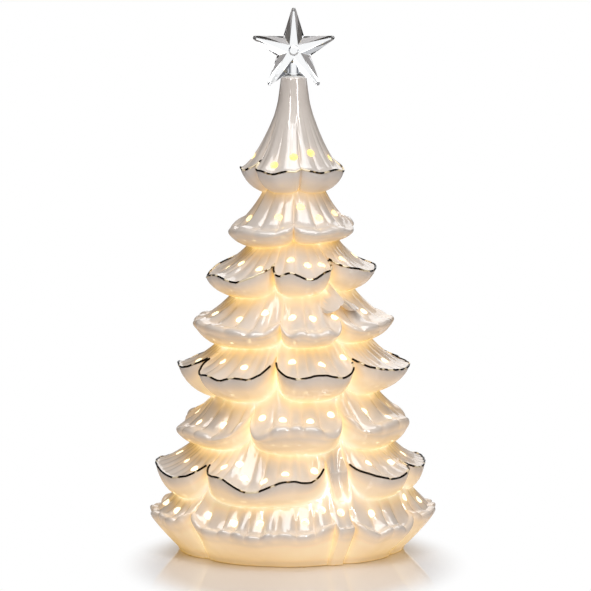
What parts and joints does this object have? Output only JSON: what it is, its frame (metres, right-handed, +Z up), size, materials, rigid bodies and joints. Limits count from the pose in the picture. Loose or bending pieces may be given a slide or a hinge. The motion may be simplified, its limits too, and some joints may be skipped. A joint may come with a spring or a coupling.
{
  "type": "ceramic christmas tree",
  "caption": "Glazed porcelain fir tree lamp with tiered drooping boughs, pierced light holes, a clear faceted star on a peg, and a battery lamp unit with hinged door and slide switch.",
  "frame": {"origin": "middle of the tree's foot on the surface it stands on", "axes": "+Z up the trunk to the star, -Y the front face of the tree, +X to the right seen from the front"},
  "size_m": [0.1727, 0.1722, 0.3254],
  "materials": {
    "porcelain": "gloss glaze",
    "clear_acrylic": "polished facets",
    "clear_silicone": "satin",
    "grey_silicone": "satin",
    "white_abs": "fine texture",
    "cell_wrap": "plain wrap",
    "nickel": "nickel plate",
    "board": "solder mask",
    "white_board": "solder mask",
    "steel_screw": "zinc plate",
    "led": "clear dome",
    "black_epoxy": "matt",
    "black_plastic": "matt",
    "lead_cover": "matt"
  },
  "bodies": {
    "tree": {"tree_body": "porcelain", "seal_ring": "grey_silicone", "light_base": "white_abs", "aa_cell_1": "cell_wrap", "aa_cell_2": "cell_wrap", "aa_cell_3": "cell_wrap", "terminal_plus_plate": "nickel", "terminal_minus_plate": "nickel", "link_plate_left": "nickel", "link_plate_right": "nickel", "contact_springs": "nickel", "control_board": "board", "board_screws": "steel_screw", "board_leds": "led", "timer_chip": "black_epoxy", "board_resistors": "black_epoxy", "mast_board_wide": "white_board", "mast_board_narrow": "white_board", "mast_leds": "led", "switch_frame": "nickel", "switch_base": "black_epoxy", "switch_terminals": "nickel", "switch_leads": "lead_cover"},
    "bush": {"star_bush": "clear_silicone"},
    "star": {"star_topper": "clear_acrylic"},
    "door": {"battery_door": "white_abs"},
    "knob": {"switch_knob": "black_plastic"}
  },
  "joints": [
    {"name": "star_turn", "type": "hinge", "parent": "tree", "child": "bush", "pos_m": [0, 0, 0.284], "axis": [0, 0, 1], "continuous": true},
    {"name": "star_lift", "type": "slide", "parent": "bush", "child": "star", "axis": [0, 0, 1], "range_m": [0, 0.02]},
    {"name": "switch_slide", "type": "slide", "parent": "tree", "child": "knob", "axis": [1, 0, 0], "range_m": [0, 0.004]},
    {"name": "battery_door", "type": "hinge", "parent": "tree", "child": "door", "pos_m": [0, -0.0228, 0.0023], "axis": [-1, 0, 0], "range_deg": [0, 90]}
  ]
}
